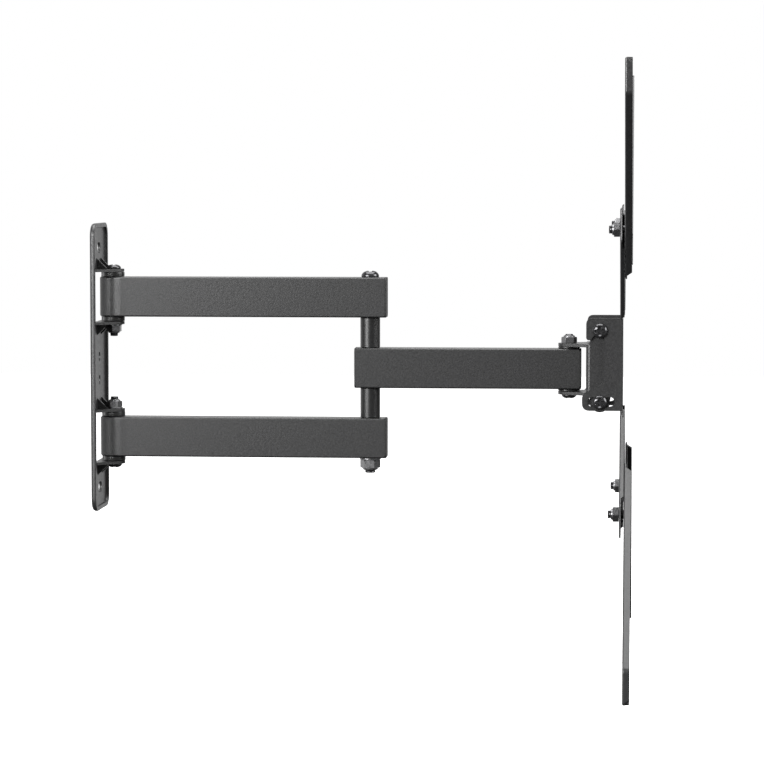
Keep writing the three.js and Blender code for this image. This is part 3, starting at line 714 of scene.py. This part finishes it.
zinc = plated_steel("dark_zinc_plating", tone=(0.2, 0.2, 0.204), roughness=0.3, metallic=0.9)
nut_m6 = {"flats": 10.0 * mm, "height": 5.6 * mm, "bore": 3.3 * mm, "grip": 0.8, "collar": 4.2 * mm}
nut_m8 = {"flats": 13.0 * mm, "height": 7.6 * mm, "bore": 4.3 * mm, "grip": 0.8, "collar": 5.6 * mm}
slim_m6 = {"flats": 10.0 * mm, "height": 5.6 * mm, "bore": 3.3 * mm, "grip": 0.76, "collar": 3.9 * mm}
nut_edge = 0.15 * mm


# A hexagon trimmed by a turned envelope; grip is the hexagon's share of the height.
def lock_nut(size):
    corner = size["flats"] / math.sqrt(3)
    top = size["height"]
    flats = size["grip"] * top
    chamfer = corner - size["flats"] / 2
    collar = size["collar"]
    hexagon = blank("nut", circle(corner, (0, 0), 6), "z", 0, top)
    profile = [
        (corner - chamfer, 0),
        (corner + 0.1 * chamfer, 0.5 * chamfer),
        (corner + 0.1 * chamfer, flats - 0.5 * chamfer),
        (corner - chamfer, flats),
        (collar, flats + 0.1 * mm),
        (collar, top - 0.7 * mm),
        (collar - 0.25 * mm, top - 0.2 * mm),
        (collar - 0.7 * mm, top),
    ]
    envelope = press("envelope", turned_loops(profile, 48))
    bore = blank("bore", circle(size["bore"], (0, 0), 32), "z", -mm, top + 2 * mm)
    shape(hexagon, [envelope], "INTERSECT")
    shape(hexagon, [bore], "DIFFERENCE")
    return soften(hexagon, nut_edge)


def fit_nuts(size, places):
    master = lock_nut(size)
    for node, body, direction, twist in places:
        nut = stand(copy_of(master), node, direction, twist)
        hang(nut, node + "_pressing", body, zinc, node)
    bpy.data.objects.remove(master)


# Each nut's last value is the turn, in degrees, at which it came tight.
nuts = [
    ("wall_pivot_nut_upper", "wall_side", (0, 0, -1), 3),
    ("wall_pivot_nut_lower", "wall_side", (0, 0, 1), 3),
    ("head_pivot_nut", "swivel_head", (0, 0, 1), 6),
    ("tilt_nut_near", "swivel_head", (0, 1, 0), 8),
    ("tilt_nut_far", "swivel_head", (0, -1, 0), 8),
    ("lock_nut_near", "swivel_head", (0, 1, 0), 8),
    ("lock_nut_far", "swivel_head", (0, -1, 0), 8),
]
fit_nuts(nut_m6, nuts)
fit_nuts(slim_m6, [("extension_nut_" + corner, "tv_plate", (-1, 0, 0), 30) for corner in corners])
fit_nuts(nut_m8, [("elbow_nut", "rear_arms", (0, 0, -1), 32)])


# The section of a plain ring whose two outer edges are broken.
def ring_profile(inside, outer, tall, edge):
    return [
        (inside, 0),
        (outer - edge, 0),
        (outer, edge),
        (outer, tall - edge),
        (outer - edge, tall),
        (inside, tall),
    ]


washer_edge = 0.15 * mm
washers = [
    ("wall_pivot_washer_upper", "wall_side", screw_hole),
    ("wall_pivot_washer_lower", "wall_side", screw_hole),
    ("elbow_washer", "rear_arms", elbow_bore),
]
for node, body, inside in washers:
    low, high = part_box(node)
    outer = (high.x - low.x) / 2
    disc = turn_ring("washer", ring_profile(inside, outer, high.z - low.z, washer_edge))
    soften(stand(disc, node, (0, 0, 1)), 0)
    hang(disc, node + "_blanking", body, zinc, node)

# ---- Elbow spacers ----
# Two thick steel tubes on the elbow bolt hold the rear arms apart, above and below the
# front arm. They are painted smooth semi-gloss black.

spacer_paint = plated_steel("spacer_paint", tone=(0.01, 0.01, 0.0102), roughness=0.33, metallic=0.0)
spacer_edge = 0.35 * mm
for level in ("upper", "lower"):
    node = "elbow_spacer_" + level
    low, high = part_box(node)
    outer = (high.x - low.x) / 2
    sleeve = turn_ring("spacer", ring_profile(elbow_bore, outer, high.z - low.z, spacer_edge), 64)
    soften(stand(sleeve, node, (0, 0, 1)), 0)
    hang(sleeve, node + "_turning", "rear_arms", spacer_paint, node)

# ---- Front arm ----
# One length of the same rectangular tube, cut square at both ends and drilled for the
# elbow bolt and the head pivot, with the same powder coat.

low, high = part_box("front_arm")
head_low, head_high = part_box("head_pivot_screw")
head_x = (head_low.x + head_high.x) / 2
arm_width = high.y - low.y
arm_height = high.z - low.z
inner_round = 0.5 * mm
section = rectangle(arm_width, arm_height, tube_round)
inside = rectangle(arm_width - 2 * tube_wall, arm_height - 2 * tube_wall, inner_round)
tube = blank("front_arm_tube", outline(section), "x", low.x, high.x - low.x)
hollow = blank("hollow", outline(inside), "x", low.x - mm, high.x - low.x + 2 * mm)
end_bore = tube_bore("elbow_bore", elbow_bore, elbow_x, low, high)
head_bore = tube_bore("head_bore", bush_bore, head_x, low, high)
shape(tube, [hollow, end_bore, head_bore], "DIFFERENCE")
soften(tube, tube_edge)
hang(tube, "front_arm_tube", "front_arm", coat, "front_arm")

# ---- Swivelling head ----
# Bent from one steel blank: a tall web, two round ears over and under the front arm, and
# two side flanges whose rounded ends carry the tilt and lock screws. Powder coated black.

low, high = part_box("head_bracket")
tilt_low, tilt_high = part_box("tilt_screw_near")
lock_low, lock_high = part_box("lock_screw_near")
tilt_x = (tilt_low.x + tilt_high.x) / 2
tilt_z = (tilt_low.z + tilt_high.z) / 2
lock_z = (lock_low.z + lock_high.z) / 2
head_sheet = 2.3 * mm
flange_sheet = 2.0 * mm
bend = 3.0 * mm
web_reach = 12.8 * mm
head_ear_round = 8.0 * mm
head_ear_root = 34.0 * mm
ear_weld = 0.6 * mm
bracket_edge = 0.3 * mm
web_x = head_x + web_reach
head_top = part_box("head_bush_top")[1].z + seat + head_sheet
flange_y = high.y
lobe = high.x - tilt_x

channel = [
    (web_x, -flange_y, bend),
    (high.x, -flange_y, 0),
    (high.x, -flange_y + flange_sheet, 0),
    (web_x + head_sheet, -flange_y + flange_sheet, bend - flange_sheet),
    (web_x + head_sheet, flange_y - flange_sheet, bend - flange_sheet),
    (high.x, flange_y - flange_sheet, 0),
    (high.x, flange_y, 0),
    (web_x, flange_y, bend),
]
bracket = blank("head_bracket_bending", outline(channel), "z", -head_top, 2 * head_top)
parts = []
for side in (-1, 1):
    ends = []
    for z, first in ((lock_z, math.pi), (tilt_z, 0.0)):
        for step in range(21):
            turn = first + math.pi * step / 20
            ends.append(Vector((tilt_x + lobe * math.cos(turn), z + lobe * math.sin(turn))))
    start = -flange_y if side < 0 else flange_y - flange_sheet
    parts.append(blank("flange", ends, "y", start, flange_sheet))
for z in (head_top - head_sheet, -head_top):
    ear = lug(head_x, head_ear_round, web_x + ear_weld, head_ear_root)
    parts.append(blank("ear", ear, "z", z, head_sheet))
shape(bracket, parts, "UNION")
drills = [drill("drill", screw_hole, (head_x, 0), "z")]
for z in (tilt_z, lock_z):
    drills.append(drill("drill", screw_hole, (tilt_x, z), "y"))
shape(bracket, drills, "DIFFERENCE")
soften(bracket, bracket_edge)
hang(bracket, "head_bracket_bending", "swivel_head", coat, "head_bracket")

# ---- Tilting centre plate ----
# An X pressed from 1.5 mm steel with a flange round its arms. Two hooked ears are bent
# back from its sides: they hang on the tilt screws, and the lock screws ride in their
# curved slots. Powder coated black.

plate_sheet = 1.5 * mm
ear_sheet = 2.0 * mm
flange_depth = 3.1 * mm
low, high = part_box("centre_plate")
back_x = high.x - flange_depth
centre_z = (low.z + high.z) / 2
tip = high.y
arm_half = 17.0 * mm
ear_y = 28.4 * mm
ear_top = tilt_z + 9.0 * mm
ear_bottom = lock_z - 6.1 * mm
root_gap = 0.5 * mm
press_bend = 1.3 * mm
web_fillet = 0.3 * mm
crotch_round = 4.0 * mm
shoulder_round = 5.0 * mm
tip_round = 1.5 * mm
notch_round = 0.6 * mm
ear_root_round = 0.4 * mm
flange_stop = 5.6 * mm
slot_half = 3.5 * mm
slot_back = 6
slot_forward = 8
centre_edge = 0.35 * mm


def cross_corners():
    spread = arm_half * math.sqrt(2)
    body_top = ear_top + high.x - back_x - centre_z
    body_bottom = centre_z - ear_bottom + high.x - back_x
    notch_top = ear_top + root_gap - centre_z
    notch_bottom = centre_z - ear_bottom + root_gap
    right = [
        (body_top - spread, body_top, crotch_round),
        (tip - spread, tip, shoulder_round),
        (tip, tip, tip_round),
        (tip, tip - spread, shoulder_round),
        (notch_top + spread, notch_top, notch_round),
        (ear_y, notch_top, ear_root_round),
        (ear_y, -notch_bottom, ear_root_round),
        (notch_bottom + spread, -notch_bottom, notch_round),
        (tip, spread - tip, shoulder_round),
        (tip, -tip, tip_round),
        (tip - spread, -tip, shoulder_round),
        (body_bottom - spread, -body_bottom, crotch_round),
    ]
    around = [(-a, b, r) for a, b, r in right] + [(a, b, r) for a, b, r in reversed(right)]
    return [(a, b + centre_z, r) for a, b, r in around]


# A pressed tray: a web with a flange standing forward all round it.
def tray_loops(corners, back, front):
    profile = []
    for step in range(4):
        turn = math.pi / 2 * step / 3
        profile.append((press_bend * (1 - math.sin(turn)), back + press_bend * (1 - math.cos(turn))))
    profile += [
        (0, front),
        (plate_sheet, front),
        (plate_sheet, back + plate_sheet + web_fillet),
        (plate_sheet + web_fillet, back + plate_sheet),
    ]
    return [lay(outline(corners, inset, 5), "x", depth) for inset, depth in profile]


# A slanted cutter that takes the flanges off past a place along a diagonal arm.
def flange_cutter(along, way, web_front, slope, degrees):
    rise = 10 * mm
    beyond = 0.1
    corners = [
        Vector((web_front, along)),
        Vector((web_front + rise, along - way * slope * rise)),
        Vector((web_front + rise, along + way * beyond)),
        Vector((web_front, along + way * beyond)),
    ]
    cutter = blank("cutter", corners, "z", -arm_half - mm, 2 * arm_half + 2 * mm)
    return turn_to(cutter, degrees)


# Turns a piece drawn along Y to one of the four diagonals of the plate.
def turn_to(piece, degrees):
    pick(piece)
    turn = Matrix.Rotation(math.radians(degrees), 4, "X")
    piece.matrix_world = Matrix.Translation((0, 0, centre_z)) @ turn
    bpy.ops.object.transform_apply(location=True, rotation=True, scale=True)
    return piece


# A bend from start to end, drawn towards the control point.
def curve(start, control, end, steps=6):
    points = []
    for step in range(1, steps + 1):
        t = step / steps
        points.append(start * (1 - t) ** 2 + control * 2 * t * (1 - t) + end * t ** 2)
    return points


# The ear's outline runs from the web over its top, down the hook's back, round the tilt
# screw, down the throat and back along the foot.
def tilt_ear(y):
    hook = tilt_x - screw_hole
    throat_x = tilt_x + screw_hole
    back = tilt_x - 10.0 * mm
    foot = tilt_x - 12.9 * mm
    lip = tilt_z - 6.9 * mm
    throat = lock_z + 18.8 * mm
    root = back_x + plate_sheet
    edge = throat - 11.0 * mm
    hook_round = 4.5 * mm
    nose_round = 2.2 * mm
    toe_round = 5.5 * mm
    points = [Vector((root, ear_bottom)), Vector((root, ear_top)), Vector((back + hook_round, ear_top))]
    points += curve(points[-1], Vector((back, ear_top)), Vector((back, ear_top - hook_round)))
    points.append(Vector((back, lip + nose_round)))
    points += curve(points[-1], Vector((back, lip)), Vector((back + nose_round, lip)))
    points += curve(points[-1], Vector((back + 3.5 * mm, lip)), Vector((back + 4.4 * mm, lip + 1.8 * mm)))
    points += curve(points[-1], Vector((hook, lip + 4.4 * mm)), Vector((hook, tilt_z)))
    for step in range(1, 13):
        turn = math.pi * (1 - step / 12)
        points.append(Vector((tilt_x + screw_hole * math.cos(turn), tilt_z + screw_hole * math.sin(turn))))
    points.append(Vector((throat_x, throat)))
    throat_end = Vector((throat_x - 5 * mm, throat - 7 * mm))
    points += curve(points[-1], Vector((throat_x, throat - 5 * mm)), throat_end)
    points.append(Vector((back + 1 * mm, edge)))
    points += curve(points[-1], Vector((foot, edge - 2 * mm)), Vector((foot, edge - 5 * mm)))
    points.append(Vector((foot, ear_bottom + toe_round)))
    points += curve(points[-1], Vector((foot, ear_bottom)), Vector((foot + toe_round, ear_bottom)))
    return blank("ear", points, "y", y, ear_sheet)


# A slot curved about the tilt screw, with a round at each end.
def lock_slot(y):
    drop = tilt_z - lock_z
    first = math.radians(270 - slot_back)
    last = math.radians(270 + slot_forward)
    pivot = Vector((tilt_x, tilt_z))
    points = []
    for step in range(9):
        turn = first + (last - first) * step / 8
        points.append(pivot + Vector((math.cos(turn), math.sin(turn))) * (drop + slot_half))
    for centre, start in ((last, last), (first, first + math.pi)):
        end = pivot + Vector((math.cos(centre), math.sin(centre))) * drop
        for step in range(1, 12):
            turn = start + math.pi * step / 12
            points.append(end + Vector((math.cos(turn), math.sin(turn))) * slot_half)
        if centre == last:
            for step in range(9):
                turn = last + (first - last) * step / 8
                points.append(pivot + Vector((math.cos(turn), math.sin(turn))) * (drop - slot_half))
    return blank("lock_slot", points, "y", y - mm, ear_sheet + 2 * mm)


centre = press("centre_plate_pressing", tray_loops(cross_corners(), back_x, high.x))
diagonal = math.sqrt(2)
bolt_reach = 100.0 * mm * diagonal
flange_end = tip * diagonal - arm_half - flange_stop
cutters = []
for degrees in (45, 135, 225, 315):
    cutters.append(flange_cutter(flange_end, 1, back_x + plate_sheet, 1, degrees))
    hole = punch("bolt_hole", circle(screw_hole, (bolt_reach, 0), 32), back_x)
    cutters.append(turn_to(hole, degrees))

# No flange stands along the ears' notches.
strip_width = 35 * mm
strip_spare = 0.6 * mm
strip_reach = 16 * mm
strip_height = ear_top - ear_bottom + 2 * root_gap + 2 * plate_sheet + strip_spare
for side in (-1, 1):
    middle = (side * (ear_y + strip_reach), (ear_top + ear_bottom) / 2)
    strip = outline(rectangle(strip_width, strip_height, 0, middle))
    cutters.append(blank("strip", strip, "x", back_x + plate_sheet, 5 * mm))
shape(centre, cutters, "DIFFERENCE")
ears = []
for y in (-ear_y, ear_y - ear_sheet):
    ears.append(shape(tilt_ear(y), [lock_slot(y)], "DIFFERENCE"))
shape(centre, ears, "UNION")
soften(centre, centre_edge)
hang(centre, "centre_plate_pressing", "tv_plate", coat, "centre_plate")

# ---- Extension arms ----
# Four pressed channels bolted into the ends of the X, pointed at the tip and slotted for
# the television's outer screw holes. Their flanges run out towards both ends.

arm_low, arm_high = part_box("extension_arm_upper_far")
arm_back = arm_low.x
arm_front = arm_high.x
arm_web = arm_back + plate_sheet
arm_tip = (arm_high.z - centre_z) * diagonal
arm_start = 77.0 * mm * diagonal
tv_slot_length = 14.0 * mm
tv_slot_width = 7.0 * mm
tv_slot_round = 3.45 * mm
tv_slot_reach = 200.0 * mm * diagonal
tv_slot = rectangle(tv_slot_length, tv_slot_width, tv_slot_round, (tv_slot_reach, 0))
start_bare = 3.3 * mm
tip_bare = 1.2 * mm
start_slope = 1
tip_slope = 0.53
channel_edge = 0.25 * mm
arm_corners = [
    (arm_start, -arm_half, 0),
    (arm_tip - arm_half, -arm_half, shoulder_round),
    (arm_tip, 0, tip_round),
    (arm_tip - arm_half, arm_half, shoulder_round),
    (arm_start, arm_half, 0),
]
for corner, degrees in (("upper_far", 45), ("upper_near", 135), ("lower_near", 225), ("lower_far", 315)):
    arm = press("extension_arm", tray_loops(arm_corners, arm_back, arm_front))
    bolt_punch = punch("bolt_hole", circle(screw_hole, (bolt_reach, 0), 32), arm_back)
    slot_punch = punch("slot", outline(tv_slot, 0, 8), arm_back)
    arm = turn_to(shape(arm, [bolt_punch, slot_punch], "DIFFERENCE"), degrees)
    start_cutter = flange_cutter(arm_start + start_bare, -1, arm_web, start_slope, degrees)
    tip_cutter = flange_cutter(arm_tip - tip_bare, 1, arm_web, tip_slope, degrees)
    shape(arm, [start_cutter, tip_cutter], "DIFFERENCE")
    soften(arm, channel_edge)
    hang(arm, "extension_channel_" + corner, "tv_plate", coat, "extension_arm_" + corner)

# ---- Inner sleeves ----
# Turned steel sleeves inside the tubes, which take the pivots' clamping load so that the
# nuts can't crush the tubes.

bright_steel = plated_steel("turned_steel", tone=(0.5, 0.5, 0.51), roughness=0.3, metallic=1.0)
sleeves = [
    "wall_pivot_sleeve_upper",
    "wall_pivot_sleeve_lower",
    "elbow_sleeve_upper",
    "elbow_sleeve_lower",
    "front_elbow_sleeve",
    "head_pivot_sleeve",
]
for node in sleeves:
    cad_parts[node].data.materials.clear()
    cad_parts[node].data.materials.append(bright_steel)

# ---- Studio ----
# A plain pale floor and a plain white surround, which gives more light from behind and the
# left. Three large soft lights stand in front, to the right and overhead, and the camera
# stands far off to the near side.

studio_middle = (0.2, 0.0, 0.0)
floor_size = 8.0
floor_drop = 0.06
bright_side = (-0.5, 0.85, 0.0)
white = (1.0, 1.0, 1.0, 1.0)

bpy.ops.object.select_all(action="DESELECT")
floor_place = (studio_middle[0], studio_middle[1], cad_low.z - floor_drop)
bpy.ops.mesh.primitive_plane_add(size=floor_size, location=floor_place)
floor = bpy.context.active_object
floor.name = "floor"
floor.visible_glossy = False
floor.visible_diffuse = False
pale = bpy.data.materials.new("pale_floor")
pale.use_nodes = True
socket(pale, "Base Color").default_value = grey(0.9)
socket(pale, "Roughness").default_value = 0.9
socket(pale, "Emission Color").default_value = white
socket(pale, "Emission Strength").default_value = 1.0
floor.data.materials.append(pale)

world = bpy.data.worlds.new("studio")
bpy.context.scene.world = world
world.use_nodes = True
nodes = world.node_tree.nodes
links = world.node_tree.links
heading = nodes.new("ShaderNodeTexCoord").outputs["Generated"]
towards = nodes.new("ShaderNodeVectorMath")
towards.operation = "DOT_PRODUCT"
towards.inputs[1].default_value = bright_side
links.new(heading, towards.inputs[0])
upright = nodes.new("ShaderNodeSeparateXYZ")
links.new(heading, upright.inputs["Vector"])
level = nodes.new("ShaderNodeMath")
level.operation = "ABSOLUTE"
links.new(upright.outputs["Z"], level.inputs[0])


# A soft step from one strength to another as the source goes from start to end.
def ramp(source, start, end, low, high):
    step = nodes.new("ShaderNodeMapRange")
    step.interpolation_type = "SMOOTHSTEP"
    step.inputs["From Min"].default_value = start
    step.inputs["From Max"].default_value = end
    step.inputs["To Min"].default_value = low
    step.inputs["To Max"].default_value = high
    links.new(source, step.inputs["Value"])
    return step.outputs["Result"]


glow = nodes.new("ShaderNodeMath")
glow.operation = "MULTIPLY"
sideways = ramp(towards.outputs["Value"], start=0.3, end=0.8, low=0.24, high=1.0)
upwards = ramp(level.outputs["Value"], start=0.3, end=0.8, low=1.0, high=0.1)
links.new(sideways, glow.inputs[0])
links.new(upwards, glow.inputs[1])
# The surround looks plain white to the camera, whatever light it gives.
seen = nodes.new("ShaderNodeMix")
links.new(nodes.new("ShaderNodeLightPath").outputs["Is Camera Ray"], seen.inputs["Factor"])
links.new(glow.outputs["Value"], seen.inputs["A"])
seen.inputs["B"].default_value = 1.0
surround = nodes["Background"]
surround.inputs["Color"].default_value = white
links.new(seen.outputs["Result"], surround.inputs["Strength"])


def soft_light(name, place, size, power):
    lamp = bpy.data.lights.new(name, "AREA")
    lamp.shape = "SQUARE"
    lamp.size = size
    lamp.energy = power
    light = bpy.data.objects.new(name, lamp)
    bpy.context.scene.collection.objects.link(light)
    light.location = place
    aim = Vector(studio_middle) - Vector(place)
    light.rotation_euler = aim.to_track_quat("-Z", "Y").to_euler()


soft_light("key", (-1.0, -1.65, 0.5), size=1.1, power=74)
soft_light("side", (2.3, -0.45, 0.9), size=1.5, power=62)
soft_light("overhead", (0.2, 0.1, 1.7), size=1.8, power=62)

camera_place = (0.4029, -2.2756, 0.1452)
camera_dip = 3.906
camera_turn = 4.78
camera_data = bpy.data.cameras.new("camera")
camera_data.sensor_width = 36.0
camera_data.lens = 146.18
camera = bpy.data.objects.new("camera", camera_data)
bpy.context.scene.collection.objects.link(camera)
camera.location = camera_place
camera.rotation_euler = (math.radians(90 - camera_dip), 0.0, math.radians(camera_turn))
bpy.context.scene.camera = camera
bpy.context.scene.view_settings.view_transform = "Standard"
